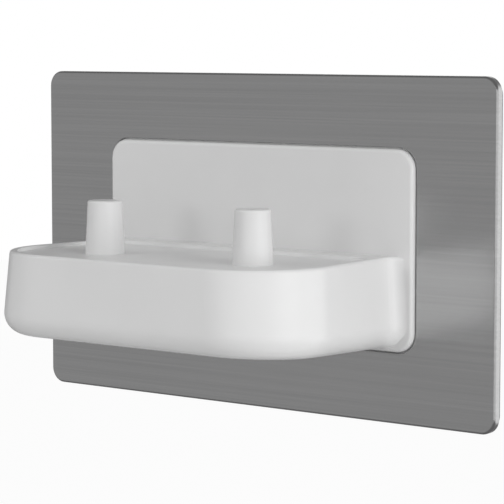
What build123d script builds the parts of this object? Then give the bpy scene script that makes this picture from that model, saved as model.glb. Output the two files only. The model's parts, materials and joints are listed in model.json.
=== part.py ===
from build123d import *
from math import cos, radians, sin, tan
import os

os.makedirs("parts", exist_ok=True)

# In-wall charger for two electric toothbrushes: a brushed steel plate on the wall, and a white
# moulding through its window whose small shelf carries two charging pins.
# X is to the right, Y into the wall, Z up. The wall is the plane Y = 0 and the origin is
# midway between the two fixing slots. All lengths are in millimetres.

# Front plate, a shallow pan of steel sheet
plate_width = 146.0
plate_height = 86.0
plate_depth = 3.0
plate_corner_radius = 4.0
plate_edge_radius = 0.6
sheet_thickness = 0.9
window_edge_radius = 0.2
seal_depth = 1.0
seal_inset = 1.0
seal_width = 4.0

# Panel of the white moulding, seen in the plate's window
panel_height = 50.0
panel_depth = 4.2
panel_thickness = 2.4
panel_corner_radius = 5.0
panel_edge_radius = 0.9
panel_gap = 0.4
flange_margin = 3.8
flange_thickness = 1.5

# Shelf of the white moulding
shelf_top = -1.25
shelf_side_margin = 5.7
shelf_bottom_margin = 0.7
shelf_slope = 2.3
shelf_draft = 3.75
shelf_spread = 6.3
shelf_corner_radius = 20.0
shelf_bottom_radius = 5.5
shelf_top_radius = 0.8
shelf_wall = 3.2
shelf_roof = 3.0
shelf_root = 0.6
cavity_rear = 6.4
cavity_corner_radius = 2.5
flare_radius = 3.2
form_margin = 0.05

# Shallow tray in the top of the shelf
tray_rim = 1.8
tray_depth = 1.0
tray_taper = 0.3
tray_rear = 11.0
tray_corner_radius = 5.0
tray_edge_radius = 0.35

# Charging pins, from which the shelf takes its width and its reach
pin_spacing = 48.0
pin_reach = 34.5
pin_side_gap = 19.7
pin_front_gap = 22.5
pin_height = 12.45
pin_base_radius = 5.05
pin_top_radius = 4.36
pin_edge_radius = 0.55
pin_wall = 1.1

# Cover under the shelf
cover_edge = 1.2
cover_floor = 0.8
cover_rim_height = 2.2
cover_rim_width = 1.8
cover_clearance = 0.15
cover_rear_gap = 0.2
seal_groove_start = 0.9
seal_groove_end = 1.7
seal_groove_depth = 0.9
cover_post_radius = 3.2
cover_post_side_gap = 7.2
cover_post_rim_gap = 0.2
cover_post_front_gap = 8.5
cover_post_front_spacing = 28.0
cover_counterbore_radius = 2.7
cover_counterbore_depth = 1.0
cover_screw_length = 8.0
cover_pilot_spare = 1.0

# Carrier frame
frame_clearance = 0.25
frame_seal_clearance = 0.3
pad_side_margin = 1.55
pad_end_margin = 2.95
pad_depth = 1.7
pad_opening_height = 44.0
fixing_spacing = 120.6
slot_length = 6.5
slot_width = 3.9
slot_sink_depth = 1.3
lug_length = 8.0
lug_pitch = 48.0
lug_slack = 0.2
lug_root = 0.5
panel_seal_thickness = 0.5
panel_seal_width = 2.5

# Rear housing, which stands in the wall box
housing_depth = 36.0
housing_wall = 2.0
housing_corner_radius = 3.0
housing_inner_radius = 1.5
housing_edge_radius = 1.0
housing_flange_margin = 6.5
housing_flange_gap = 1.05
housing_flange_thickness = 2.2
housing_ledge = 1.0
housing_screw_side_margin = 7.7
housing_screw_end_margin = 8.8
housing_screw_gap = 6.5
housing_boss_radius = 3.5
housing_boss_clearance = 0.3
housing_screw_bite = 2.0
housing_pilot_inset = 0.6
gusset_reach = 9.0
gusset_thickness = 2.0
gusset_height = 9.0

# Power board in the rear housing
board_thickness = 1.6
board_gap = 2.0
board_front = 10.0
board_corner_radius = 1.5
board_post_margin = 3.0
board_post_radius = 3.0
board_screw_length = 7.0
board_screw_head_height = 1.4
board_pilot_depth = 8.0

# Terminal block and its recess in the rear housing
terminal_pitch = 10.0
terminal_width = 30.0
terminal_front = 22.0
terminal_rear = 34.0
terminal_height = 12.0
terminal_bottom_gap = 1.0
terminal_pin_height = 4.6
terminal_slit_width = 1.2
terminal_slit_depth = 1.5
terminal_well_radius = 2.2
terminal_screw_length = 3.6
terminal_screw_head_radius = 2.0
terminal_screw_head_height = 1.4
recess_width = 33.0
cage_width = 7.0
cage_front = 24.2
cage_rear = 31.6
cage_top_gap = 3.0
cage_height = 8.4
cage_roof = 1.5
cage_clearance = 0.1
wire_bore_radius = 1.75
terminal_pin_radius = 0.6
terminal_pin_end = 1.0
terminal_pin_clearance = 0.1

# Transformer on the power board: core, and the bobbin round its middle leg
core_x = -14.0
core_z = 5.0
core_width = 20.0
core_height = 18.0
core_front = 17.0
core_back = 25.0
core_limb = 2.5
core_leg = 5.0
former_wall = 0.8
former_gap = 0.1
former_end_gap = 0.6
former_flange_gap = 0.2
former_flange_rise = 4.2
winding_rise = 3.5
winding_margin = 0.5
winding_corner_radius = 3.0

# Common-mode choke on the power board
choke_x = 8.0
choke_z = 13.0
choke_radius = 6.0
choke_bore = 3.0
choke_length = 5.0
choke_winding_depth = 0.6
choke_winding_gap = 3.0

# Capacitor cans on the power board
bulk_x = 23.0
bulk_z = 7.5
bulk_radius = 6.3
bulk_height = 20.0
output_x = -30.0
output_z = 2.0
output_radius = 4.0
output_height = 12.0
can_edge = 0.5
can_rim = 1.2
can_dish = 0.35

# Other parts on the power board
film_x = -27.0
film_z = -11.5
film_width = 13.0
film_depth = 6.0
film_height = 11.5
box_edge_radius = 0.6
varistor_x = 28.0
varistor_z = -9.0
varistor_radius = 5.0
varistor_thickness = 4.0
varistor_lift = 2.0
varistor_edge = 1.0
varistor_pin_pitch = 5.0
varistor_pin_radius = 0.4
fuse_x = 20.0
fuse_z = -7.5
fuse_radius = 4.2
fuse_height = 8.0
chip_lift = 0.5
chip_edge = 0.35
bridge_x = 8.0
bridge_z = 0.0
bridge_width = 8.4
bridge_depth = 6.4
bridge_height = 3.3
bridge_lead_pitch = 5.0
bridge_lead_width = 1.0
controller_x = -2.0
controller_z = -9.4
controller_width = 9.6
controller_depth = 5.6
controller_height = 3.1
controller_lead_pitch = 2.0
controller_lead_width = 0.6
lead_rise = 1.5
lead_reach = 1.0
lead_overlap = 0.3

# Coil board in the shelf
coil_board_height = 8.0
coil_board_thickness = 1.2
coil_board_side_margin = 3.0
coil_board_front_gap = 0.8
coil_board_rear_gap = 0.3
coil_post_radius = 2.6
coil_post_pin_gap = 11.0
coil_post_front_margin = 3.5
coil_post_rear_margin = 4.0

# Ferrite rods and coils
rod_radius = 2.6
rod_headroom = 0.5
rod_edge = 0.3
bobbin_radius = 9.0
bobbin_headroom = 0.35
bobbin_flange = 1.1
bobbin_tube_radius = 3.6
bobbin_clearance = 0.05
winding_radius = 8.0

# Capacitor and driver transistor beside each coil
resonance_width = 13.0
resonance_depth = 5.0
resonance_height = 8.5
resonance_gap = 3.0
driver_pin_gap = 16.0
driver_width = 6.6
driver_front = 1.5
driver_depth = 6.0
driver_height = 2.3
driver_tab_width = 5.4
driver_tab_depth = 1.4
driver_lead_pitch = 4.6
driver_lead_width = 0.8
driver_lead_depth = 2.4
driver_sheet = 0.6

# Link between the two boards
link_slot_width = 16.0
link_slot_height = 8.0
header_width = 13.0
header_height = 6.0
header_depth = 6.0
plug_width = 11.0
plug_height = 4.0
plug_length = 8.0
plug_clearance = 0.1
plug_insertion = 4.2
plug_edge_radius = 0.4
wire_radius = 0.6
wire_pitch = 2.5

# Earth clip behind the front plate
earth_x = -30.0
earth_width = 8.0
earth_sheet = 0.6
earth_gap = 1.05
earth_height = 5.9
earth_reach = 9.0
earth_screw_depth = 6.0
earth_screw_length = 3.5

# Screws
screw_radius = 1.5
screw_head_radius = 2.7
screw_head_height = 1.8
recess_share = 0.35
recess_depth_share = 0.55
head_chamfer_share = 0.4
tip_chamfer_share = 0.3
small_screw_radius = 1.1
small_screw_head_radius = 2.2
small_screw_head_height = 0.9
thread_clearance = 0.02
hole_clearance = 0.2

# Sizes that follow from those above
pin_places = {"left": -pin_spacing / 2, "right": pin_spacing / 2}
shelf_half_width = pin_spacing / 2 + pin_side_gap
shelf_reach = pin_reach + pin_front_gap
shelf_bottom = shelf_bottom_margin - panel_height / 2
panel_width = 2 * (shelf_half_width + shelf_side_margin)
plate_back = -plate_depth + sheet_thickness
panel_back = -panel_depth + panel_thickness
flange_back = plate_back + flange_thickness
pocket_floor = flange_back + panel_seal_thickness
window_width = panel_width + 2 * panel_gap
window_height = panel_height + 2 * panel_gap
window_radius = panel_corner_radius + panel_gap
flange_width = panel_width + 2 * flange_margin
flange_height = panel_height + 2 * flange_margin
frame_width = plate_width - 2 * sheet_thickness - 2 * frame_clearance
frame_height = plate_height - 2 * sheet_thickness - 2 * frame_clearance
frame_back_width = plate_width - seal_inset - seal_width - 2 * frame_seal_clearance
frame_back_height = plate_height - seal_inset - seal_width - 2 * frame_seal_clearance
pocket_width = flange_width + 2 * frame_clearance
pocket_height = flange_height + 2 * frame_clearance
slope_tangent = tan(radians(shelf_slope))
spread_tangent = tan(radians(shelf_spread))
tray_floor = shelf_top - tray_depth
cavity_top = shelf_top - shelf_roof
pin_top = shelf_top + pin_height
rod_top = pin_top - pin_wall - rod_headroom
bobbin_top = cavity_top - bobbin_headroom
board_back = board_front + board_thickness
pad_width = pocket_width + 2 * pad_side_margin
pad_height = pocket_height + 2 * pad_end_margin
housing_screw_x = flange_width / 2 - housing_screw_side_margin
housing_screw_z = flange_height / 2 - housing_screw_end_margin
housing_width = 2 * (housing_screw_x - housing_screw_gap)
pad_opening_width = housing_width
housing_flange_width = 2 * (housing_screw_x + housing_flange_margin)
housing_flange_height = pocket_height - 2 * housing_flange_gap
housing_height = housing_flange_height - 2 * housing_ledge
board_width = housing_width - 2 * (housing_wall + board_gap)
board_height = housing_height - 2 * (housing_wall + board_gap)
board_post_x = board_width / 2 - board_post_margin
board_post_z = board_height / 2 - board_post_margin
housing_inside = housing_depth - housing_wall
housing_flange_back = pad_depth + housing_flange_thickness
terminal_poles = (-terminal_pitch, 0.0, terminal_pitch)
terminal_bottom = terminal_bottom_gap - housing_height / 2
terminal_top = terminal_bottom + terminal_height
terminal_level = terminal_bottom + terminal_pin_height
cage_top = terminal_top - cage_top_gap
cover_post_x = shelf_half_width - cover_post_side_gap
cover_post_rear = cavity_rear + cover_clearance + cover_rim_width + cover_post_rim_gap + cover_post_radius
cover_post_front = shelf_reach - cover_post_front_gap
coil_board_top = shelf_bottom + coil_board_height
coil_board_bottom = coil_board_top - coil_board_thickness
coil_board_front = cover_post_front - cover_post_radius - coil_board_front_gap
coil_board_rear = cover_post_rear + cover_post_radius + coil_board_rear_gap
coil_post_x = pin_spacing / 2 + coil_post_pin_gap
coil_post_front = coil_board_front - coil_post_front_margin
coil_post_rear = coil_board_rear + coil_post_rear_margin
coil_board_width = 2 * (coil_post_x + coil_board_side_margin)
link_level = coil_board_top + header_height / 2
earth_low = pocket_height / 2 + earth_gap
earth_high = earth_low + earth_height

# Places that repeat: X and Y on the shelf, X and Z on the wall side
cover_posts = (
    (-cover_post_x, -cover_post_rear),
    (cover_post_x, -cover_post_rear),
    (-cover_post_front_spacing / 2, -cover_post_front),
    (cover_post_front_spacing / 2, -cover_post_front),
)
corners = ((-1, -1), (-1, 1), (1, -1), (1, 1))
coil_posts = [(side * coil_post_x, -y) for y in (coil_post_rear, coil_post_front) for side in (-1, 1)]
housing_bosses = [(i * housing_screw_x, j * housing_screw_z) for i, j in corners]
board_posts = [(i * board_post_x, j * board_post_z) for i, j in corners]


def facing(depth):
    """Plane parallel to the wall at this depth, with X to the right and Z up."""
    return Plane.XZ.offset(-depth)


def slab(width, height, radius, start, end, mode=Mode.ADD):
    """Rounded rectangle centred on the plate, from one depth to another."""
    with BuildSketch(facing(start)) as outline:
        RectangleRounded(width, height, radius)
    extrude(outline.sketch, amount=start - end, mode=mode)


def block(x_low, x_high, y_low, y_high, z_low, z_high, mode=Mode.ADD):
    """Plain block between two corners."""
    with BuildSketch(Plane.XY.offset(z_low)) as outline:
        with Locations(((x_low + x_high) / 2, (y_low + y_high) / 2)):
            Rectangle(x_high - x_low, y_high - y_low)
    extrude(outline.sketch, amount=z_high - z_low, mode=mode)


def rod(x, z, radius, start, end, mode=Mode.ADD):
    """Cylinder along Y, from one depth to another."""
    with BuildSketch(facing(start)) as outline:
        with Locations((x, z)):
            Circle(radius)
    extrude(outline.sketch, amount=start - end, mode=mode)


def post(x, y, radius, low, high, mode=Mode.ADD):
    """Upright cylinder between two levels."""
    with BuildSketch(Plane.XY.offset(low)) as outline:
        with Locations((x, y)):
            Circle(radius)
    extrude(outline.sketch, amount=high - low, mode=mode)


def make_screw(radius, length, head_radius, head_height):
    """Pan-head screw that points down, with the seat of its head at the origin."""
    recess = recess_share * head_radius
    with BuildPart() as screw:
        post(0, 0, radius, -length, 0)
        post(0, 0, head_radius, 0, head_height)
        chamfer(faces().sort_by(Axis.Z)[-1].edges(), head_chamfer_share * head_height)
        chamfer(faces().sort_by(Axis.Z)[0].edges(), tip_chamfer_share * radius)
        for turn in (0, 90):
            with BuildSketch(Plane.XY.offset(head_height)):
                Rectangle(4 * recess, recess, rotation=turn)
            extrude(amount=-recess_depth_share * head_height, mode=Mode.SUBTRACT)
    return screw.part


def box_at(x, z, width, height, start, end, mode=Mode.ADD):
    """Block centred on a place of the wall side, from one depth to another."""
    block(x - width / 2, x + width / 2, start, end, z - height / 2, z + height / 2, mode)


def make_can(x, z, radius, height):
    """Capacitor can that stands on the power board, with a shallow dish in its top."""
    top = board_back + height
    with BuildPart() as can:
        rod(x, z, radius, board_back, top)
        chamfer(faces().sort_by(Axis.Y)[-1].edges(), can_edge)
        rod(x, z, radius - can_rim, top - can_dish, top, Mode.SUBTRACT)
    return can.part


def make_chip(x, z, width, depth, height, lead_places, lead_width):
    """Moulded chip on the power board, with bent leads on its upper and lower side."""
    with BuildPart() as chip:
        box_at(x, z, width, depth, board_back + chip_lift, board_back + chip_lift + height)
        chamfer(faces().sort_by(Axis.Y)[-1].edges(), chip_edge)
        lead_length = lead_reach + lead_overlap
        for place in lead_places:
            for side in (-1, 1):
                lead_z = z + side * (depth / 2 - lead_overlap + lead_length / 2)
                box_at(x + place, lead_z, lead_width, lead_length, board_back, board_back + lead_rise)
    return chip.part


def bottom_level(y):
    """Level of the shelf's underside at this depth."""
    return shelf_bottom + (-y - panel_depth) * slope_tangent


def above_bottom(height):
    """Plane parallel to the shelf's underside, this far above it."""
    return Plane(
        origin=(0, -panel_depth, shelf_bottom),
        x_dir=(1, 0, 0),
        z_dir=(0, sin(radians(shelf_slope)), cos(radians(shelf_slope))),
    ).offset(height)


def drafted_wall(x, y, turn, inset):
    """Plane of a shelf wall that faces this way from the front, through a point of the top outline."""
    outward = Vector(sin(radians(turn)), -cos(radians(turn)), 0)
    normal = outward * cos(radians(shelf_draft)) + Vector(0, 0, sin(radians(shelf_draft)))
    return Plane(origin=Vector(x, y, shelf_top) - outward * inset, z_dir=normal)


def shelf_block(inset, high, low, rear=panel_depth - shelf_root, rear_radius=0):
    """Block under the shelf's outline, inset from its outer walls, between two levels."""
    side_turn = 90 + shelf_spread
    with BuildPart() as body:
        block(-panel_width, panel_width, -2 * shelf_reach, -rear, low, high)
        split(bisect_by=drafted_wall(0, -shelf_reach, 0, inset), keep=Keep.BOTTOM)
        split(bisect_by=drafted_wall(shelf_half_width, -panel_depth, side_turn, inset), keep=Keep.BOTTOM)
        split(bisect_by=drafted_wall(-shelf_half_width, -panel_depth, -side_turn, inset), keep=Keep.BOTTOM)
        middle = (high + low) / 2
        corners = edges().filter_by_position(Axis.Z, middle - 0.01, middle + 0.01).sort_by(Axis.Y)
        fillet(corners[:2], shelf_corner_radius - inset)
        if rear_radius > 0:
            fillet(corners[2:], rear_radius)
    return body.part


def tray_plan(level, inset, rear):
    """Outline of the tray at a level, inset from the shelf's top outline and cut at the rear."""
    front_half = shelf_half_width + (shelf_reach - panel_depth) * spread_tangent
    with BuildSketch(Plane.XY.offset(level)) as plan:
        with BuildLine():
            Polyline(
                (-shelf_half_width, -panel_depth),
                (-front_half, -shelf_reach),
                (front_half, -shelf_reach),
                (shelf_half_width, -panel_depth),
                close=True,
            )
        make_face()
        fillet(plan.vertices().group_by(Axis.Y)[0], shelf_corner_radius)
        offset(amount=-inset, kind=Kind.INTERSECTION)
        with Locations((0, -rear)):
            Rectangle(2 * plate_width, shelf_reach, align=(Align.CENTER, Align.MIN), mode=Mode.SUBTRACT)
        fillet(plan.vertices().group_by(Axis.Y)[-1], tray_corner_radius)
    return plan.sketch


# Outer form of the shelf, from which the moulding and its cover are cut. The wall behind it is
# thick here so that the long fillets run out cleanly, and is trimmed inside the panel.
form_low = shelf_bottom - panel_thickness
form_block = shelf_block(0, shelf_top, form_low)

with BuildPart() as shelf_form:
    block(-panel_width, panel_width, -panel_depth, shelf_reach / 4, form_low, shelf_top)
    add(form_block)
    split(bisect_by=above_bottom(0), keep=Keep.TOP)
    flare_edges = edges().filter_by(GeomType.LINE).filter_by(
        lambda edge: abs(edge.center().Y + panel_depth) < 0.01 and abs(edge.center().X) < panel_width / 2
    )
    fillet(flare_edges, flare_radius)
    underside = faces().sort_by(Axis.Z)[0].edges().filter_by(lambda edge: edge.center().Y < -shelf_root)
    fillet(underside, shelf_bottom_radius)
    rim = faces().sort_by(Axis.Z)[-1].edges().filter_by(lambda edge: edge.center().Y < -shelf_root)
    fillet(rim, shelf_top_radius)
    trim = panel_width / 2 - panel_edge_radius - form_margin
    split(bisect_by=Plane.XZ.offset(panel_depth - shelf_root), keep=Keep.TOP)
    split(bisect_by=Plane.YZ.offset(trim), keep=Keep.BOTTOM)
    split(bisect_by=Plane.YZ.offset(-trim), keep=Keep.TOP)


shelf_cavity = shelf_block(shelf_wall, cavity_top, form_low, cavity_rear, cavity_corner_radius)

with BuildPart() as cover_cut:
    block(-panel_width, panel_width, -2 * shelf_reach, -panel_depth - cover_rear_gap, -panel_height, 0)
    split(bisect_by=above_bottom(cover_edge), keep=Keep.BOTTOM)

with BuildPart() as inner_posts:
    for x, y in cover_posts:
        post(x, y, cover_post_radius, shelf_bottom, cavity_top)
    split(bisect_by=above_bottom(cover_edge + cover_floor), keep=Keep.TOP)
    for x, y in coil_posts:
        post(x, y, coil_post_radius, coil_board_top, cavity_top)

tray_sections = [
    tray_plan(shelf_top, tray_rim, tray_rear),
    tray_plan(tray_floor, tray_rim + tray_taper, tray_rear + tray_taper),
]

long_screw_length = housing_flange_back + housing_screw_bite
long_screw = make_screw(screw_radius, long_screw_length, screw_head_radius, screw_head_height)
earth_clip_screw = make_screw(screw_radius, earth_screw_length, screw_head_radius, screw_head_height)
board_screw = make_screw(
    small_screw_radius, board_screw_length, small_screw_head_radius, board_screw_head_height
)
cover_screw = make_screw(
    small_screw_radius, cover_screw_length, small_screw_head_radius, small_screw_head_height
)
terminal_screw = make_screw(
    screw_radius, terminal_screw_length, terminal_screw_head_radius, terminal_screw_head_height
)

# Solid form of one charging pin and of the bore inside it
with BuildPart() as pin_solid:
    with BuildSketch(Plane.XZ) as pin_half:
        with BuildLine():
            Polyline(
                (0, tray_floor - tray_taper),
                (pin_base_radius, tray_floor - tray_taper),
                (pin_base_radius, tray_floor),
                (pin_top_radius, pin_top),
                (0, pin_top),
                close=True,
            )
        make_face()
        fillet(pin_half.vertices().sort_by(Axis.Y)[-2:].sort_by(Axis.X)[-1], pin_edge_radius)
    revolve(axis=Axis.Z)

with BuildPart() as pin_bore:
    with BuildSketch(Plane.XZ):
        with BuildLine():
            Polyline(
                (0, cavity_top - tray_taper),
                (pin_base_radius - pin_wall, cavity_top - tray_taper),
                (pin_base_radius - pin_wall, tray_floor),
                (pin_top_radius - pin_wall, pin_top - pin_wall),
                (0, pin_top - pin_wall),
                close=True,
            )
        make_face()
    revolve(axis=Axis.Z)

# White moulding: panel, shelf, tray and charging pins in one piece
with BuildPart() as front_housing:
    slab(panel_width, panel_height, panel_corner_radius, -panel_depth, panel_back)
    fillet(faces().sort_by(Axis.Y)[0].edges(), panel_edge_radius)
    slab(flange_width, flange_height, window_radius, plate_back, flange_back)
    slab(pad_opening_width, pad_opening_height, panel_corner_radius, panel_back, flange_back, Mode.SUBTRACT)
    add(shelf_form.part)
    loft(sections=tray_sections, ruled=True, mode=Mode.SUBTRACT)
    floor_face = faces().filter_by_position(Axis.Z, tray_floor - 0.01, tray_floor + 0.01)[0]
    rim_face = faces().filter_by_position(Axis.Z, shelf_top - 0.01, shelf_top + 0.01)[0]
    fillet(floor_face.edges() + rim_face.inner_wires()[0].edges(), tray_edge_radius)
    for x in pin_places.values():
        add(pin_solid.part.moved(Location((x, -pin_reach, 0))))
    add(shelf_cavity, mode=Mode.SUBTRACT)
    add(inner_posts.part)
    add(cover_cut.part, mode=Mode.SUBTRACT)
    for x in pin_places.values():
        add(pin_bore.part.moved(Location((x, -pin_reach, 0))), mode=Mode.SUBTRACT)
    for x, y in cover_posts:
        pilot_top = bottom_level(y) + cover_counterbore_depth + cover_screw_length + cover_pilot_spare
        post(x, y, small_screw_radius + thread_clearance, shelf_bottom, pilot_top, Mode.SUBTRACT)
    for x, y in coil_posts:
        pilot_top = coil_board_top + board_pilot_depth
        post(x, y, small_screw_radius + thread_clearance, coil_board_top, pilot_top, Mode.SUBTRACT)
    for x, z in housing_bosses:
        rod(x, z, housing_boss_radius, flange_back, pad_depth)
        pilot_end = panel_back - housing_pilot_inset
        rod(x, z, screw_radius + thread_clearance, pilot_end, pad_depth, Mode.SUBTRACT)
    block(
        -link_slot_width / 2,
        link_slot_width / 2,
        -cavity_rear - cavity_corner_radius,
        flange_back,
        link_level - link_slot_height / 2,
        link_level + link_slot_height / 2,
        Mode.SUBTRACT,
    )

# Cover of the shelf, with a rim that carries its seal


def cover_ring(inset):
    """Block under the cavity's opening, at this inset from the shelf's outer walls."""
    return shelf_block(
        inset,
        cavity_top,
        form_low,
        cavity_rear + inset - shelf_wall,
        max(cavity_corner_radius + shelf_wall - inset, cover_clearance),
    )


plug_inset = shelf_wall + cover_clearance
cavity_outer = cover_ring(shelf_wall)
plug_outer = cover_ring(plug_inset)
plug_inner = cover_ring(plug_inset + cover_rim_width)
groove_inner = cover_ring(plug_inset + seal_groove_depth)

with BuildPart() as seal_ring:
    add(cavity_outer)
    add(groove_inner, mode=Mode.SUBTRACT)
    split(bisect_by=above_bottom(cover_edge + seal_groove_start), keep=Keep.TOP)
    split(bisect_by=above_bottom(cover_edge + seal_groove_end), keep=Keep.BOTTOM)

with BuildPart() as cover_hollow:
    add(plug_inner)
    split(bisect_by=above_bottom(cover_edge + cover_floor), keep=Keep.TOP)

with BuildPart() as cover_plug:
    add(plug_outer)
    split(bisect_by=above_bottom(cover_edge), keep=Keep.TOP)
    split(bisect_by=above_bottom(cover_edge + cover_rim_height), keep=Keep.BOTTOM)
    add(cover_hollow.part, mode=Mode.SUBTRACT)
    add(seal_ring.part, mode=Mode.SUBTRACT)

with BuildPart() as shelf_base:
    add(shelf_form.part)
    add(cover_cut.part, mode=Mode.INTERSECT)
    add(cover_plug.part)
    for x, y in cover_posts:
        seat = bottom_level(y) + cover_counterbore_depth
        post(x, y, cover_counterbore_radius, form_low, seat, Mode.SUBTRACT)
        post(x, y, small_screw_radius + hole_clearance, seat, seat + cover_rim_height, Mode.SUBTRACT)

with BuildPart() as base_seal:
    add(seal_ring.part)

with BuildPart() as base_screws:
    for x, y in cover_posts:
        seat = bottom_level(y) + cover_counterbore_depth
        add(cover_screw.moved(Plane(origin=(x, y, seat), z_dir=(0, 0, -1)).location))

# Front plate, pressed from one sheet
with BuildPart() as face_plate:
    slab(plate_width, plate_height, plate_corner_radius, -plate_depth, -seal_depth)
    fillet(faces().sort_by(Axis.Y)[0].edges(), plate_edge_radius)
    slab(
        plate_width - 2 * sheet_thickness,
        plate_height - 2 * sheet_thickness,
        plate_corner_radius - sheet_thickness,
        plate_back,
        -seal_depth,
        Mode.SUBTRACT,
    )
    slab(window_width, window_height, window_radius, -plate_depth, plate_back, Mode.SUBTRACT)
    fillet(faces().sort_by(Axis.Y)[0].inner_wires()[0].edges(), window_edge_radius)

# Seal between the plate's rim and the wall
with BuildPart() as wall_seal:
    slab(plate_width - seal_inset, plate_height - seal_inset, plate_corner_radius, -seal_depth, 0)
    slab(
        plate_width - seal_inset - seal_width,
        plate_height - seal_inset - seal_width,
        plate_corner_radius - seal_width / 2,
        -seal_depth,
        0,
        Mode.SUBTRACT,
    )

# Carrier frame, screwed to the wall box
with BuildPart() as mounting_frame:
    slab(frame_width, frame_height, plate_corner_radius - sheet_thickness, plate_back, -seal_depth)
    slab(frame_back_width, frame_back_height, seal_width / 2, -seal_depth, 0)
    slab(pad_width, pad_height, panel_corner_radius, -seal_depth, pad_depth)
    fillet(faces().sort_by(Axis.Y)[-1].edges(), tray_edge_radius)
    slab(pocket_width, pocket_height, window_radius + frame_clearance, plate_back, pocket_floor, Mode.SUBTRACT)
    slab(pad_opening_width, pad_opening_height, panel_corner_radius, pocket_floor, pad_depth, Mode.SUBTRACT)
    for x, z in housing_bosses:
        rod(x, z, housing_boss_radius + housing_boss_clearance, pocket_floor, pad_depth, Mode.SUBTRACT)
    for x in (-fixing_spacing / 2, fixing_spacing / 2):
        with BuildSketch(facing(plate_back)) as slot:
            with Locations((x, 0)):
                SlotOverall(slot_length, slot_width)
        extrude(slot.sketch, amount=plate_back, mode=Mode.SUBTRACT)
        with BuildSketch(facing(plate_back)) as sink:
            with Locations((x, 0)):
                SlotOverall(slot_length + 2 * slot_sink_depth, slot_width + 2 * slot_sink_depth)
        with BuildSketch(facing(plate_back + slot_sink_depth)) as sink_end:
            with Locations((x, 0)):
                SlotOverall(slot_length, slot_width)
        loft(sections=[sink.sketch, sink_end.sketch], ruled=True, mode=Mode.SUBTRACT)
    for x in (-lug_pitch, 0, lug_pitch):
        for side in (-1, 1):
            rim = side * (plate_height / 2 - sheet_thickness)
            root = side * (frame_height / 2 - lug_root)
            levels = sorted((root, rim))
            start = plate_back + lug_slack
            block(x - lug_length / 2, x + lug_length / 2, start, -seal_depth - lug_slack, *levels)
    block(
        earth_x - earth_width / 2 - hole_clearance,
        earth_x + earth_width / 2 + hole_clearance,
        plate_back,
        plate_back + earth_sheet,
        earth_low,
        earth_high + hole_clearance,
        Mode.SUBTRACT,
    )
    block(
        earth_x - earth_width / 2 - hole_clearance,
        earth_x + earth_width / 2 + hole_clearance,
        plate_back,
        pad_depth,
        earth_low,
        earth_low + earth_sheet,
        Mode.SUBTRACT,
    )

with BuildPart() as panel_seal:
    slab(flange_width, flange_height, window_radius, flange_back, pocket_floor)
    slab(
        flange_width - 2 * panel_seal_width,
        flange_height - 2 * panel_seal_width,
        window_radius - panel_seal_width,
        flange_back,
        pocket_floor,
        Mode.SUBTRACT,
    )

# Rear housing with its board posts and the recess for the terminal block
with BuildPart() as rear_housing:
    slab(
        housing_flange_width,
        housing_flange_height,
        panel_corner_radius,
        pad_depth,
        housing_flange_back,
    )
    slab(housing_width, housing_height, housing_corner_radius, pad_depth, housing_depth)
    fillet(faces().sort_by(Axis.Y)[-1].edges(), housing_edge_radius)
    slab(
        housing_width - 2 * housing_wall,
        housing_height - 2 * housing_wall,
        housing_inner_radius,
        pad_depth,
        housing_inside,
        Mode.SUBTRACT,
    )
    for x, z in board_posts:
        rod(x, z, board_post_radius, board_back, housing_inside)
        pilot_end = board_back + board_pilot_depth
        rod(x, z, small_screw_radius + thread_clearance, board_back, pilot_end, Mode.SUBTRACT)
    block(
        -recess_width / 2 - housing_wall,
        recess_width / 2 + housing_wall,
        terminal_front - housing_wall,
        housing_inside,
        -housing_height / 2 + housing_wall,
        terminal_top + housing_wall,
    )
    block(
        -recess_width / 2,
        recess_width / 2,
        terminal_front,
        housing_depth,
        -housing_height / 2,
        terminal_top,
        Mode.SUBTRACT,
    )
    for x in terminal_poles:
        rod(
            x,
            terminal_level,
            terminal_pin_radius + hole_clearance,
            terminal_front - housing_wall,
            terminal_front,
            Mode.SUBTRACT,
        )
    for side in (-1, 1):
        for z in (-gusset_height, gusset_height):
            with BuildSketch(Plane.XY.offset(z - gusset_thickness / 2)) as gusset:
                with BuildLine():
                    Polyline(
                        (side * housing_width / 2, housing_flange_back),
                        (side * (housing_width / 2 + gusset_reach), housing_flange_back),
                        (side * housing_width / 2, housing_flange_back + gusset_reach),
                        close=True,
                    )
                make_face()
            extrude(gusset.sketch, amount=gusset_thickness)
    for x, z in housing_bosses:
        rod(x, z, screw_radius + hole_clearance, pad_depth, housing_flange_back, Mode.SUBTRACT)

with BuildPart() as housing_screws:
    for x, z in housing_bosses:
        add(long_screw.moved(Plane(origin=(x, housing_flange_back, z), z_dir=(0, 1, 0)).location))

# Terminal block, its brass cages with pins to the board, and its screws
with BuildPart() as terminal_block:
    block(
        -terminal_width / 2,
        terminal_width / 2,
        terminal_front,
        terminal_rear,
        terminal_bottom,
        terminal_top,
    )
    for x in (-terminal_pitch / 2, terminal_pitch / 2):
        block(
            x - terminal_slit_width / 2,
            x + terminal_slit_width / 2,
            terminal_rear - terminal_slit_depth,
            terminal_rear,
            terminal_bottom,
            terminal_top,
            Mode.SUBTRACT,
        )
    for x in terminal_poles:
        block(
            x - cage_width / 2 - cage_clearance,
            x + cage_width / 2 + cage_clearance,
            cage_front,
            cage_rear,
            terminal_bottom,
            cage_top,
            Mode.SUBTRACT,
        )
        rod(x, terminal_level, terminal_well_radius, cage_rear, terminal_rear, Mode.SUBTRACT)
        rod(x, terminal_level, terminal_pin_radius + hole_clearance, terminal_front, cage_front, Mode.SUBTRACT)

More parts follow.
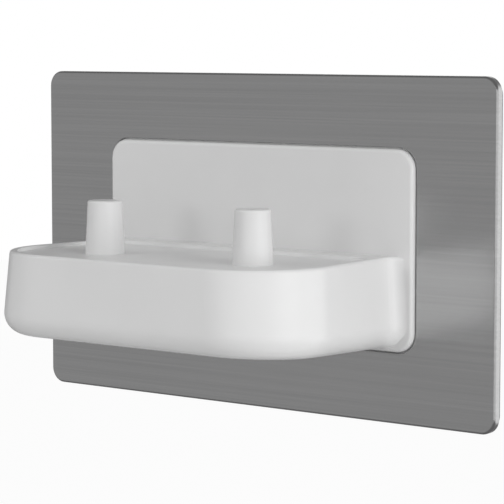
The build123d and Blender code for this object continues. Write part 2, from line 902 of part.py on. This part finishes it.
with BuildPart() as terminal_cages:
    for x in terminal_poles:
        block(
            x - cage_width / 2,
            x + cage_width / 2,
            cage_front,
            cage_rear,
            cage_top - cage_height,
            cage_top,
        )
        wire_y = (cage_front + cage_rear) / 2
        post(x, wire_y, wire_bore_radius, cage_top - cage_height, cage_top - cage_roof, Mode.SUBTRACT)
        rod(x, terminal_level, screw_radius + thread_clearance, wire_y, cage_rear, Mode.SUBTRACT)
        rod(x, terminal_level, terminal_pin_radius, board_front - terminal_pin_end, cage_front)

with BuildPart() as terminal_screws:
    for x in terminal_poles:
        add(terminal_screw.moved(Plane(origin=(x, cage_rear, terminal_level), z_dir=(0, 1, 0)).location))

# Power board
with BuildPart() as power_board:
    slab(board_width, board_height, board_corner_radius, board_front, board_back)
    for x, z in board_posts:
        rod(x, z, small_screw_radius + hole_clearance, board_front, board_back, Mode.SUBTRACT)
    for x in terminal_poles:
        pin_hole_radius = terminal_pin_radius + terminal_pin_clearance
        rod(x, terminal_level, pin_hole_radius, board_front, board_back, Mode.SUBTRACT)

with BuildPart() as power_board_screws:
    for x, z in board_posts:
        add(board_screw.moved(Plane(origin=(x, board_front, z), z_dir=(0, -1, 0)).location))

# Transformer: core in the plane of the board, bobbin and winding round its middle leg
former_length = core_width - 2 * (core_limb + former_end_gap)
leg_half = core_leg / 2
former_half = leg_half + former_gap + former_wall
former_front = core_front - former_gap - former_wall
former_back = core_back + former_gap + former_wall
former_flange_half = core_height / 2 - core_limb - former_flange_gap
core_inner = core_width / 2 - core_limb
with BuildPart() as transformer_core:
    block(
        core_x - core_width / 2,
        core_x + core_width / 2,
        core_front,
        core_back,
        core_z - core_height / 2,
        core_z + core_height / 2,
    )
    for side in (-1, 1):
        window = sorted((core_z + side * leg_half, core_z + side * (core_height / 2 - core_limb)))
        block(core_x - core_inner, core_x + core_inner, core_front, core_back, *window, Mode.SUBTRACT)

with BuildPart() as transformer_bobbin:
    for side in (-1, 1):
        ends = sorted((core_x + side * former_length / 2, core_x + side * (former_length / 2 - former_wall)))
        block(
            *ends,
            board_back,
            former_back + former_flange_rise,
            core_z - former_flange_half,
            core_z + former_flange_half,
        )
    half_length = former_length / 2
    block(
        core_x - half_length,
        core_x + half_length,
        former_front,
        former_back,
        core_z - former_half,
        core_z + former_half,
    )
    block(
        core_x - half_length,
        core_x + half_length,
        core_front - former_gap,
        core_back + former_gap,
        core_z - leg_half - former_gap,
        core_z + leg_half + former_gap,
        Mode.SUBTRACT,
    )

with BuildPart() as transformer_winding:
    coil_half = half_length - former_wall
    with BuildSketch(Plane.YZ.offset(core_x - coil_half)) as turns:
        with Locations(((former_front + former_back) / 2, core_z)):
            RectangleRounded(
                former_back - former_front + 2 * winding_rise,
                2 * (former_flange_half - winding_margin),
                winding_corner_radius,
            )
            Rectangle(former_back - former_front, 2 * former_half, mode=Mode.SUBTRACT)
    extrude(turns.sketch, amount=2 * coil_half)

# Common-mode choke: ring core with two windings
choke_front = board_back + choke_winding_depth
choke_back = choke_front + choke_length
with BuildPart() as choke_core:
    rod(choke_x, choke_z, choke_radius, choke_front, choke_back)
    rod(choke_x, choke_z, choke_bore, choke_front, choke_back, Mode.SUBTRACT)

with BuildPart() as choke_winding:
    wire_back = choke_back + choke_winding_depth
    rod(choke_x, choke_z, choke_radius + choke_winding_depth, board_back, wire_back)
    rod(choke_x, choke_z, choke_bore - choke_winding_depth, board_back, wire_back, Mode.SUBTRACT)
    add(choke_core.part, mode=Mode.SUBTRACT)
    box_at(choke_x, choke_z, choke_winding_gap, 4 * choke_radius, board_back, wire_back, Mode.SUBTRACT)

# Capacitors, fuse, varistor and chips on the power board
bulk_capacitor = make_can(bulk_x, bulk_z, bulk_radius, bulk_height)
output_capacitor = make_can(output_x, output_z, output_radius, output_height)

with BuildPart() as film_capacitor:
    box_at(film_x, film_z, film_width, film_depth, board_back, board_back + film_height)
    fillet(edges().filter_by(Axis.Y), box_edge_radius)

with BuildPart() as varistor:
    disc_y = board_back + varistor_lift + varistor_radius
    with BuildSketch(Plane.YZ.offset(varistor_x - varistor_thickness / 2)) as disc:
        with Locations((disc_y, varistor_z)):
            Circle(varistor_radius)
    extrude(disc.sketch, amount=varistor_thickness)
    chamfer(edges().filter_by(GeomType.CIRCLE), varistor_edge)
    for side in (-1, 1):
        rod(varistor_x, varistor_z + side * varistor_pin_pitch / 2, varistor_pin_radius, board_back, disc_y)

with BuildPart() as fuse:
    rod(fuse_x, fuse_z, fuse_radius, board_back, board_back + fuse_height)
    chamfer(faces().sort_by(Axis.Y)[-1].edges(), can_edge)

bridge_leads = [place * bridge_lead_pitch for place in (-0.5, 0.5)]
bridge_rectifier = make_chip(
    bridge_x, bridge_z, bridge_width, bridge_depth, bridge_height, bridge_leads, bridge_lead_width
)
controller_leads = [place * controller_lead_pitch for place in (-1.5, -0.5, 0.5, 1.5)]
controller_chip = make_chip(
    controller_x,
    controller_z,
    controller_width,
    controller_depth,
    controller_height,
    controller_leads,
    controller_lead_width,
)

# Coil board in the shelf, with the coils that stand on it
with BuildPart() as coil_board:
    block(
        -coil_board_width / 2,
        coil_board_width / 2,
        -coil_board_front,
        -coil_board_rear,
        coil_board_bottom,
        coil_board_top,
    )
    fillet(edges().filter_by(Axis.Z), board_corner_radius)
    for x, y in coil_posts:
        post(x, y, small_screw_radius + hole_clearance, coil_board_bottom, coil_board_top, Mode.SUBTRACT)

with BuildPart() as coil_board_screws:
    for x, y in coil_posts:
        add(board_screw.moved(Plane(origin=(x, y, coil_board_bottom), z_dir=(0, 0, -1)).location))

coil_parts = {}
for side, x in pin_places.items():
    bobbin_bottom = coil_board_top + bobbin_flange
    with BuildPart() as coil_bobbin:
        post(x, -pin_reach, bobbin_radius, coil_board_top, bobbin_bottom)
        post(x, -pin_reach, bobbin_radius, bobbin_top - bobbin_flange, bobbin_top)
        post(x, -pin_reach, bobbin_tube_radius, bobbin_bottom, bobbin_top)
        post(x, -pin_reach, rod_radius + bobbin_clearance, bobbin_bottom, bobbin_top, Mode.SUBTRACT)
    with BuildPart() as coil_winding:
        post(x, -pin_reach, winding_radius, bobbin_bottom, bobbin_top - bobbin_flange)
        post(x, -pin_reach, bobbin_tube_radius, bobbin_bottom, bobbin_top - bobbin_flange, Mode.SUBTRACT)
    with BuildPart() as ferrite_core:
        post(x, -pin_reach, rod_radius, bobbin_bottom, rod_top)
        chamfer(faces().sort_by(Axis.Z)[-1].edges(), rod_edge)
    with BuildPart() as resonance_capacitor:
        front = -pin_reach + bobbin_radius + resonance_gap
        block(
            x - resonance_width / 2,
            x + resonance_width / 2,
            front,
            front + resonance_depth,
            coil_board_top,
            coil_board_top + resonance_height,
        )
        fillet(edges().filter_by(Axis.Z), box_edge_radius)
    with BuildPart() as driver_transistor:
        middle = x + driver_pin_gap * (1 if x < 0 else -1)
        body_front = -pin_reach - driver_front
        body_back = body_front + driver_depth
        sheet_top = coil_board_top + driver_sheet
        tab_half = driver_tab_width / 2
        block(
            middle - driver_width / 2,
            middle + driver_width / 2,
            body_front,
            body_back,
            coil_board_top,
            coil_board_top + driver_height,
        )
        tab_back = body_back + driver_tab_depth
        block(middle - tab_half, middle + tab_half, body_back, tab_back, coil_board_top, sheet_top)
        for lead in (middle - driver_lead_pitch / 2, middle + driver_lead_pitch / 2):
            block(
                lead - driver_lead_width / 2,
                lead + driver_lead_width / 2,
                body_front - driver_lead_depth,
                body_front,
                coil_board_top,
                sheet_top,
            )
    coil_parts["coil_bobbin_" + side] = coil_bobbin.part
    coil_parts["coil_winding_" + side] = coil_winding.part
    coil_parts["ferrite_core_" + side] = ferrite_core.part
    coil_parts["resonance_capacitor_" + side] = resonance_capacitor.part
    coil_parts["driver_transistor_" + side] = driver_transistor.part

# Link: a header on each board, and a plug on each end of four short wires
shelf_header_back = -coil_board_rear
board_header_front = board_front - header_depth
header_bottom = link_level - header_height / 2
header_top = link_level + header_height / 2
socket_width = plug_width + 2 * plug_clearance
socket_height = plug_height + 2 * plug_clearance
socket_depth = plug_insertion + plug_clearance
with BuildPart() as shelf_header:
    block(
        -header_width / 2,
        header_width / 2,
        shelf_header_back - header_depth,
        shelf_header_back,
        coil_board_top,
        header_top,
    )
    block(
        -socket_width / 2,
        socket_width / 2,
        shelf_header_back - socket_depth,
        shelf_header_back,
        link_level - socket_height / 2,
        link_level + socket_height / 2,
        Mode.SUBTRACT,
    )

with BuildPart() as board_header:
    block(
        -header_width / 2,
        header_width / 2,
        board_header_front,
        board_front,
        header_bottom,
        header_top,
    )
    block(
        -socket_width / 2,
        socket_width / 2,
        board_header_front,
        board_header_front + socket_depth,
        link_level - socket_height / 2,
        link_level + socket_height / 2,
        Mode.SUBTRACT,
    )

shelf_plug_back = shelf_header_back - plug_insertion + plug_length
board_plug_front = board_header_front + plug_insertion - plug_length
with BuildPart() as link_plugs:
    for start in (shelf_plug_back - plug_length, board_plug_front):
        block(
            -plug_width / 2,
            plug_width / 2,
            start,
            start + plug_length,
            link_level - plug_height / 2,
            link_level + plug_height / 2,
        )
    fillet(edges().filter_by(Axis.Y), plug_edge_radius)

with BuildPart() as link_wires:
    for place in (-1.5, -0.5, 0.5, 1.5):
        rod(place * wire_pitch, link_level, wire_radius, shelf_plug_back, board_plug_front)

# Earth clip between the steel plate and the carrier frame, and its screw
with BuildPart() as earth_clip:
    block(
        earth_x - earth_width / 2,
        earth_x + earth_width / 2,
        plate_back,
        plate_back + earth_sheet,
        earth_low,
        earth_high,
    )
    block(
        earth_x - earth_width / 2,
        earth_x + earth_width / 2,
        plate_back,
        earth_reach,
        earth_low,
        earth_low + earth_sheet,
    )
    post(
        earth_x,
        earth_screw_depth,
        screw_radius + thread_clearance,
        earth_low,
        earth_low + earth_sheet,
        Mode.SUBTRACT,
    )

with BuildPart() as earth_screw:
    add(earth_clip_screw.moved(Location((earth_x, earth_screw_depth, earth_low + earth_sheet))))

parts = {
    "face_plate": face_plate.part,
    "wall_seal": wall_seal.part,
    "mounting_frame": mounting_frame.part,
    "panel_seal": panel_seal.part,
    "front_housing": front_housing.part,
    "shelf_base": shelf_base.part,
    "base_seal": base_seal.part,
    "base_screws": base_screws.part,
    "rear_housing": rear_housing.part,
    "housing_screws": housing_screws.part,
    "terminal_block": terminal_block.part,
    "terminal_cages": terminal_cages.part,
    "terminal_screws": terminal_screws.part,
    "power_board": power_board.part,
    "power_board_screws": power_board_screws.part,
    "transformer_core": transformer_core.part,
    "transformer_bobbin": transformer_bobbin.part,
    "transformer_winding": transformer_winding.part,
    "choke_core": choke_core.part,
    "choke_winding": choke_winding.part,
    "bulk_capacitor": bulk_capacitor,
    "output_capacitor": output_capacitor,
    "film_capacitor": film_capacitor.part,
    "varistor": varistor.part,
    "fuse": fuse.part,
    "bridge_rectifier": bridge_rectifier,
    "controller_chip": controller_chip,
    "coil_board": coil_board.part,
    "coil_board_screws": coil_board_screws.part,
    "shelf_header": shelf_header.part,
    "board_header": board_header.part,
    "link_plugs": link_plugs.part,
    "link_wires": link_wires.part,
    "earth_clip": earth_clip.part,
    "earth_screw": earth_screw.part,
    **coil_parts,
}
for name, shape in parts.items():
    shape.label = name
    export_step(shape, "parts/" + name + ".step")
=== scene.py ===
import json
from math import cos, radians, sin

import bpy
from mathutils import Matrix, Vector

# The looks of an in-wall toothbrush charger. Lengths are in metres, X to the right, Y into the
# wall, Z up, and the origin is in the plane of the wall at the middle of the plate.

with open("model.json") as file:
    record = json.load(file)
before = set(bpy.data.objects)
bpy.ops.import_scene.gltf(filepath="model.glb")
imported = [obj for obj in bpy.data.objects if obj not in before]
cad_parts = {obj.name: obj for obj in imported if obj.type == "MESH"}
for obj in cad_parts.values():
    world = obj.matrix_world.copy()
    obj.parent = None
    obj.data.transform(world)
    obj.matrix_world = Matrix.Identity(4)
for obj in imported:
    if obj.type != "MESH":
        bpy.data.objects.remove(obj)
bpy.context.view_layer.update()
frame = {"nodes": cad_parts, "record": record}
nodes = frame["nodes"]

# Camera, fitted to the plate's outline in the photograph. Its sensor and lens are in millimetres.
CAMERA_AZIMUTH = 38.87
CAMERA_ELEVATION = 5.23
CAMERA_DISTANCE = 0.6081
CAMERA_TARGET = Vector((-0.00405, 0.0, -0.00325))
SENSOR_WIDTH = 36.0
FOCAL_LENGTH = 167.4

# World: the light that falls on the object, and the white that camera and mirror rays see
AMBIENT = 0.4
BACKDROP = 1.0

# Floor, and the share of its own glow in what camera and mirror rays see of it
FLOOR_LEVEL = -0.8
FLOOR_SIZE = 12.0
FLOOR_COLOUR = (0.9, 0.9, 0.9)
FLOOR_ROUGHNESS = 0.9
FLOOR_GLOW = 1.035
FLOOR_GLOW_SHARE = 0.9

# Cards that only mirror rays see. The grey one in front on the left gives the steel its tone, the
# darker ones its edge lines, and the bright one behind on the right its right-hand edge.
CARD_DISTANCE = 1.4
CARD_HEIGHT = 1.2
# Upright cards: name, azimuth, width, brightness
UPRIGHT_CARDS = (
    ("grey_card", -45, 3.0, 0.45),
    ("side_card", -118, 1.3, 0.1),
    ("rear_card", 140, 1.6, 1.25),
)
# Level cards above and below: name, side. Their middle is this far in front of the wall.
LEVEL_CARDS = (("upper_card", 1), ("lower_card", -1))
LEVEL_CARD_SHIFT = 0.6
LEVEL_CARD_SIZE = (3.4, 3.4)
LEVEL_CARD_BRIGHTNESS = 0.22

# Large soft lamps: name, azimuth, elevation, distance, width and height, watts
LAMPS = (
    ("key_right", 80, 12, 1.2, (0.7, 0.9), 8.9),
    ("fill_right", 62, 10, 1.2, (0.6, 0.9), 1.2),
    ("fill_front", -6, 9, 1.3, (0.3, 0.25), 1.3),
    ("fill_left", -45, 25, 1.2, (0.7, 0.7), 3.8),
    ("fill_below", 20, -45, 1.2, (0.8, 0.6), 1.2),
)

# Worn edges: reach of the strip, and its share of the worn colour
EDGE_REACH = 0.0003
EDGE_SHARE = 0.5

# Sockets of a Mix node that blends colours
MIX_FIRST, MIX_SECOND, MIX_RESULT = 6, 7, 2


def direction(azimuth, elevation):
    """Unit vector from the object towards a viewer; azimuth 0 is in front, 90 to the right."""
    a, e = radians(azimuth), radians(elevation)
    return Vector((sin(a) * cos(e), -cos(a) * cos(e), sin(e)))


def turn(made, facing):
    """Turns an object's local Z into a direction."""
    made.rotation_mode = "QUATERNION"
    made.rotation_quaternion = facing.to_track_quat("Z", "Y")


class Shader:
    """A node tree with one Principled shader, and short calls that add nodes to it."""

    def __init__(self, name, base, roughness, metallic=0.0):
        self.material = bpy.data.materials.new(name)
        self.material.use_nodes = True
        self.tree = self.material.node_tree
        self.bsdf = self.tree.nodes["Principled BSDF"]
        self.base = (*base, 1.0)
        self.bsdf.inputs["Base Color"].default_value = self.base
        self.bsdf.inputs["Roughness"].default_value = roughness
        self.bsdf.inputs["Metallic"].default_value = metallic
        self.place = self.tree.nodes.new("ShaderNodeTexCoord").outputs["Object"]

    def node(self, kind, links=None, **settings):
        """Adds a node. Links go from an input to its source; settings are properties or inputs."""
        made = self.tree.nodes.new(kind)
        for key, value in settings.items():
            if hasattr(made, key):
                setattr(made, key, value)
            else:
                made.inputs[key.title()].default_value = value
        for socket, source in (links or {}).items():
            self.tree.links.new(source, made.inputs[socket])
        return made

    def stretched(self, scale):
        """Object coordinates times a scale for each axis."""
        made = self.node("ShaderNodeMapping", {"Vector": self.place})
        made.inputs["Scale"].default_value = scale
        return made.outputs["Vector"]

    def noise(self, scale, detail=2.0, vector=None):
        """Noise with this many turns per metre."""
        links = {"Vector": vector or self.place}
        return self.node("ShaderNodeTexNoise", links, scale=scale, detail=detail).outputs["Fac"]

    def wave(self, scale, axis, distortion=0.0):
        """Even bands across one axis."""
        settings = {"scale": scale, "bands_direction": axis, "distortion": distortion}
        return self.node("ShaderNodeTexWave", {"Vector": self.place}, **settings).outputs["Fac"]

    def ramp(self, factor, low=0.0, high=1.0, start=0.3, end=0.7):
        """Maps start..end of a value onto low..high, with soft ends."""
        made = self.node("ShaderNodeMapRange", {"Value": factor}, interpolation_type="SMOOTHSTEP")
        made.inputs["From Min"].default_value = start
        made.inputs["From Max"].default_value = end
        made.inputs["To Min"].default_value = low
        made.inputs["To Max"].default_value = high
        return made.outputs["Result"]

    def combine(self, operation, first, second):
        """Adds or multiplies a value and a second value or number."""
        made = self.node("ShaderNodeMath", {0: first}, operation=operation)
        if isinstance(second, float):
            made.inputs[1].default_value = second
        else:
            self.tree.links.new(second, made.inputs[1])
        return made.outputs["Value"]

    def weighted(self, first, share, second):
        """This share of one value and the rest of another."""
        part = self.combine("MULTIPLY", first, share)
        rest = self.combine("MULTIPLY", second, 1.0 - share)
        return self.combine("ADD", part, rest)

    def mix(self, factor, first, second):
        """Blends two colours, each a tuple or a socket."""
        made = self.node("ShaderNodeMix", {"Factor": factor}, data_type="RGBA")
        for index, colour in ((MIX_FIRST, first), (MIX_SECOND, second)):
            if isinstance(colour, tuple):
                made.inputs[index].default_value = colour
            else:
                self.tree.links.new(colour, made.inputs[index])
        return made.outputs[MIX_RESULT]

    def shade(self, factor, spread):
        """Varies the base colour by a value from 0 to 1, this much either way."""
        dark = tuple(c * (1 - spread) for c in self.base[:3]) + (1.0,)
        light = tuple(min(c * (1 + spread), 1.0) for c in self.base[:3]) + (1.0,)
        return self.mix(factor, dark, light)

    def edges(self, colour, worn):
        """Lightens a narrow strip along the sharp edges, as handling does."""
        rounded = self.node("ShaderNodeBevel", radius=EDGE_REACH, samples=8)
        flat = self.node("ShaderNodeNewGeometry")
        normals = {0: rounded.outputs["Normal"], 1: flat.outputs["Normal"]}
        alike = self.node("ShaderNodeVectorMath", normals, operation="DOT_PRODUCT")
        wear = self.ramp(alike.outputs["Value"], EDGE_SHARE, 0.0, start=0.85, end=0.99)
        return self.mix(wear, colour, worn)

    def colour(self, source):
        self.tree.links.new(source, self.bsdf.inputs["Base Color"])

    def roughness(self, source):
        self.tree.links.new(source, self.bsdf.inputs["Roughness"])

    def bump(self, height, distance, strength):
        made = self.node("ShaderNodeBump", {"Height": height})
        made.inputs["Strength"].default_value = strength
        made.inputs["Distance"].default_value = distance
        self.tree.links.new(made.outputs["Normal"], self.bsdf.inputs["Normal"])


def moulded(name, base, roughness, grain, grain_scale, spread, worn=None):
    """Injection-moulded plastic: faint clouding, a fine surface texture and handled edges."""
    shader = Shader(name, base, roughness)
    colour = shader.shade(shader.ramp(shader.noise(scale=45.0, detail=3.0)), spread)
    if worn:
        colour = shader.edges(colour, (*worn, 1.0))
    shader.colour(colour)
    patches = shader.noise(scale=110.0)
    shader.roughness(shader.ramp(patches, roughness * 0.92, roughness * 1.08, start=0.2, end=0.8))
    shader.bump(shader.noise(grain_scale), distance=grain, strength=0.6)
    return shader.material


def brushed(name, base, roughness, streaks, spread, depth):
    """Metal ground along X: streaks much longer than wide, in tone and relief."""
    shader = Shader(name, base, roughness, metallic=1.0)
    along, *across = streaks
    broad = shader.stretched((along, *(0.3 * scale for scale in across)))
    coarse = shader.noise(scale=1.0, vector=broad)
    fine = shader.noise(scale=1.0, detail=3.0, vector=shader.stretched(streaks))
    both = shader.weighted(coarse, 0.35, fine)
    clouds = shader.noise(scale=30.0)
    shader.colour(shader.shade(shader.ramp(shader.weighted(both, 0.85, clouds)), spread))
    shader.roughness(shader.ramp(clouds, roughness * 0.92, roughness * 1.08))
    shader.bump(both, distance=depth, strength=0.7)
    return shader.material


def plated(name, base, roughness):
    """Plated or turned metal: small clouds of tone and gloss, and a scuffed relief."""
    shader = Shader(name, base, roughness, metallic=1.0)
    colour = shader.shade(shader.ramp(shader.noise(scale=220.0, detail=3.0)), spread=0.08)
    shader.colour(shader.edges(colour, tuple(min(c * 1.25, 1.0) for c in base) + (1.0,)))
    shader.roughness(shader.ramp(shader.noise(scale=700.0), roughness * 0.8, roughness * 1.3))
    shader.bump(shader.noise(scale=1800.0), distance=0.00001, strength=0.5)
    return shader.material


def rubber(name, base, roughness):
    """Dusty silicone: soft mottling and a matt, slightly uneven skin."""
    shader = Shader(name, base, roughness)
    dust = shader.ramp(shader.noise(scale=90.0, detail=4.0), start=0.45, end=0.7)
    shader.colour(shader.mix(dust, shader.base, tuple(c + 0.03 for c in base) + (1.0,)))
    shader.roughness(shader.ramp(shader.noise(scale=300.0), 0.55, 0.72))
    shader.bump(shader.noise(scale=900.0, detail=3.0), distance=0.00004, strength=0.7)
    return shader.material


def laminate(name, base, roughness, weave_scale):
    """Circuit board: a faint weave under a lacquer, with a mottled tone."""
    shader = Shader(name, base, roughness)
    warp, weft = shader.wave(weave_scale, "X"), shader.wave(weave_scale, "Z")
    weave = shader.combine("MULTIPLY", warp, weft)
    tone = shader.weighted(weave, 0.5, shader.noise(scale=60.0, detail=3.0))
    shader.colour(shader.shade(shader.ramp(tone, start=0.2, end=0.6), spread=0.16))
    shader.roughness(shader.ramp(shader.noise(scale=400.0), roughness * 0.85, roughness * 1.2))
    shader.bump(weave, distance=0.000015, strength=0.5)
    return shader.material


def wound(name, base, roughness, metallic, axis, pitch):
    """Close turns of wire or tape round an axis: a fine ridge for each turn."""
    shader = Shader(name, base, roughness, metallic)
    turns = shader.wave(1.0 / (pitch * 20.0), axis, distortion=0.4)
    shader.colour(shader.shade(shader.ramp(turns, start=0.0, end=1.0), spread=0.28))
    shader.roughness(shader.ramp(shader.noise(scale=500.0), roughness * 0.8, roughness * 1.25))
    shader.bump(turns, distance=0.00012, strength=0.8)
    return shader.material


def sintered(name, base, roughness, specks):
    """Sintered ferrite: charcoal grey with pale specks and a fine pitted skin."""
    shader = Shader(name, base, roughness, metallic=0.2)
    speckled = shader.ramp(shader.noise(scale=1600.0, detail=3.0), start=0.6, end=0.72)
    shader.colour(shader.mix(speckled, shader.base, (*specks, 1.0)))
    shader.roughness(shader.ramp(shader.noise(scale=500.0), 0.4, 0.6))
    shader.bump(shader.noise(scale=2200.0, detail=3.0), distance=0.00003, strength=0.7)
    return shader.material


def sleeve(name, base, roughness, bare):
    """Shrunk capacitor sleeve with a bare aluminium top, which faces away from the board."""
    shader = Shader(name, base, roughness)
    normal = shader.node("ShaderNodeNewGeometry").outputs["Normal"]
    facing = shader.node("ShaderNodeSeparateXYZ", {"Vector": normal}).outputs["Y"]
    top = shader.ramp(facing, start=0.9, end=0.98)
    clouds = shader.shade(shader.ramp(shader.noise(scale=250.0, detail=3.0)), spread=0.2)
    shader.colour(shader.mix(top, clouds, (*bare, 1.0)))
    shader.tree.links.new(top, shader.bsdf.inputs["Metallic"])
    shader.roughness(shader.ramp(shader.noise(scale=600.0), 0.24, 0.42))
    shader.bump(shader.noise(scale=700.0), distance=0.00003, strength=0.5)
    return shader.material


# Turns per metre of the brushing along X, Y and Z
STREAKS = (9.0, 900.0, 2600.0)
WHITE = (0.72, 0.72, 0.72)

# Finish of each material slot: how it is made, its base colour, its roughness, and then
#   moulded: depth and scale of the grain, spread of the tone, colour of the worn edges
#   brushed: streaks, spread of the tone, depth of the relief
#   laminate: scale of the weave
#   wound: metallic share, axis, distance from turn to turn
#   sintered: colour of the specks
#   sleeve: colour of the bare top
FINISHES = {
    "steel_plate": (brushed, (0.47, 0.47, 0.472), 0.24, STREAKS, 0.06, 0.0000008),
    "white_shell": (moulded, WHITE, 0.3, 0.0000006, 2500.0, 0.012),
    "white_cover": (moulded, WHITE, 0.34, 0.0000008, 2500.0, 0.014),
    "black_frame": (moulded, (0.035, 0.035, 0.038), 0.55, 0.00003, 1400.0, 0.12, (0.12,) * 3),
    "grey_housing": (moulded, (0.2, 0.205, 0.21), 0.5, 0.00003, 1500.0, 0.07, (0.3, 0.3, 0.31)),
    "seal_rubber": (rubber, (0.045, 0.045, 0.048), 0.62),
    "steel_screw": (plated, (0.55, 0.56, 0.58), 0.32),
    "stainless_screw": (plated, (0.58, 0.58, 0.58), 0.28),
    "brass_cage": (plated, (0.74, 0.53, 0.22), 0.3),
    "tinned_clip": (plated, (0.66, 0.65, 0.62), 0.3),
    "terminal_body": (moulded, (0.66, 0.66, 0.61), 0.42, 0.00002, 1500.0, 0.05),
    "power_laminate": (laminate, (0.42, 0.27, 0.11), 0.42, 60.0),
    "coil_laminate": (laminate, (0.02, 0.16, 0.06), 0.28, 80.0),
    "ferrite": (sintered, (0.075, 0.075, 0.08), 0.48, (0.2, 0.2, 0.205)),
    "bobbin_nylon": (moulded, (0.03, 0.03, 0.032), 0.45, 0.00002, 1300.0, 0.15, (0.1,) * 3),
    "copper_wire": (wound, (0.62, 0.25, 0.1), 0.3, 0.85, "Z", 0.0005),
    "winding_tape": (wound, (0.7, 0.47, 0.06), 0.38, 0.0, "X", 0.0012),
    "capacitor_sleeve": (sleeve, (0.03, 0.045, 0.12), 0.3, (0.62, 0.62, 0.63)),
    "film_box": (moulded, (0.55, 0.4, 0.05), 0.4, 0.00003, 900.0, 0.08),
    "varistor_coat": (moulded, (0.03, 0.09, 0.32), 0.38, 0.00006, 700.0, 0.12),
    "fuse_cap": (moulded, (0.05, 0.03, 0.03), 0.35, 0.00002, 900.0, 0.15),
    "chip_epoxy": (moulded, (0.025, 0.025, 0.028), 0.5, 0.00003, 1700.0, 0.15),
    "header_nylon": (moulded, (0.68, 0.67, 0.6), 0.44, 0.00002, 1400.0, 0.05),
    "wire_jacket": (moulded, (0.42, 0.02, 0.02), 0.36, 0.00003, 900.0, 0.1),
}
finishes = {slot: make(slot, *values) for slot, (make, *values) in FINISHES.items()}
for entry in frame["record"]["subparts"]:
    shown = nodes[entry["node"]]
    shown.data.materials.clear()
    shown.data.materials.append(finishes[entry["material_slot"]])


def seen_rays(tree):
    """1 for camera, mirror and glass rays, and 0 for the rays that light the object."""
    path = tree.nodes.new("ShaderNodeLightPath")
    value = path.outputs["Is Camera Ray"]
    for kind in ("Is Glossy Ray", "Is Transmission Ray"):
        larger = tree.nodes.new("ShaderNodeMath")
        larger.operation = "MAXIMUM"
        tree.links.new(value, larger.inputs[0])
        tree.links.new(path.outputs[kind], larger.inputs[1])
        value = larger.outputs[0]
    return value


def white_light(tree, kind, strength):
    """White background or emission."""
    made = tree.nodes.new(kind)
    made.inputs["Color"].default_value = (1, 1, 1, 1)
    made.inputs["Strength"].default_value = strength
    return made.outputs[0]


def mixed(tree, factor, first, second):
    """Two shaders, mixed by a factor."""
    made = tree.nodes.new("ShaderNodeMixShader")
    for index, source in enumerate((factor, first, second)):
        tree.links.new(source, made.inputs[index])
    return made.outputs[0]


# World: white to camera, mirror and glass rays, a plain even grey light to everything else
world = bpy.data.worlds.new("studio")
bpy.context.scene.world = world
world.use_nodes = True
tree = world.node_tree
tree.nodes.clear()
ambient = white_light(tree, "ShaderNodeBackground", AMBIENT)
backdrop = white_light(tree, "ShaderNodeBackground", BACKDROP)
output = tree.nodes.new("ShaderNodeOutputWorld")
tree.links.new(mixed(tree, seen_rays(tree), ambient, backdrop), output.inputs["Surface"])

# Floor, well below an object that hangs on a wall
bpy.ops.mesh.primitive_plane_add(size=FLOOR_SIZE, location=(0, 0, FLOOR_LEVEL))
floor = bpy.context.object
floor.name = "floor"
pale = Shader("floor", FLOOR_COLOUR, FLOOR_ROUGHNESS)
glow = white_light(pale.tree, "ShaderNodeEmission", FLOOR_GLOW)
share = pale.combine("MULTIPLY", seen_rays(pale.tree), FLOOR_GLOW_SHARE)
surface = pale.tree.nodes["Material Output"].inputs["Surface"]
pale.tree.links.new(mixed(pale.tree, share, pale.bsdf.outputs[0], glow), surface)
floor.data.materials.append(pale.material)


def card(name, place, facing, size, brightness):
    """Plain card that only mirror rays see, as used beside bright metal."""
    bpy.ops.mesh.primitive_plane_add(size=1.0, location=place)
    made = bpy.context.object
    made.name = name
    made.scale = (*size, 1.0)
    turn(made, facing)
    paper = bpy.data.materials.new(name)
    paper.use_nodes = True
    shine = white_light(paper.node_tree, "ShaderNodeEmission", brightness)
    paper.node_tree.links.new(shine, paper.node_tree.nodes["Material Output"].inputs["Surface"])
    made.data.materials.append(paper)
    made.visible_camera = False
    made.visible_diffuse = False
    made.visible_shadow = False
    made.visible_transmission = False


for name, azimuth, width, brightness in UPRIGHT_CARDS:
    towards = direction(azimuth, 0)
    card(name, towards * CARD_DISTANCE, towards, (width, CARD_HEIGHT), brightness)
for name, side in LEVEL_CARDS:
    place = Vector((0, -LEVEL_CARD_SHIFT, side * CARD_HEIGHT / 2))
    card(name, place, Vector((0, 0, side)), LEVEL_CARD_SIZE, LEVEL_CARD_BRIGHTNESS)

# Lamps, which face the object
for name, azimuth, elevation, distance, size, power in LAMPS:
    data = bpy.data.lights.new(name, "AREA")
    data.shape = "RECTANGLE"
    data.size, data.size_y = size
    data.energy = power
    lamp = bpy.data.objects.new(name, data)
    bpy.context.scene.collection.objects.link(lamp)
    towards = direction(azimuth, elevation)
    lamp.location = towards * distance
    turn(lamp, towards)
    lamp.visible_glossy = False

# Camera
camera_data = bpy.data.cameras.new("camera")
camera_data.sensor_width = SENSOR_WIDTH
camera_data.lens = FOCAL_LENGTH
camera = bpy.data.objects.new("camera", camera_data)
bpy.context.scene.collection.objects.link(camera)
towards_camera = direction(CAMERA_AZIMUTH, CAMERA_ELEVATION)
camera.location = CAMERA_TARGET + towards_camera * CAMERA_DISTANCE
turn(camera, towards_camera)
bpy.context.scene.camera = camera
bpy.context.scene.view_settings.view_transform = "Standard"
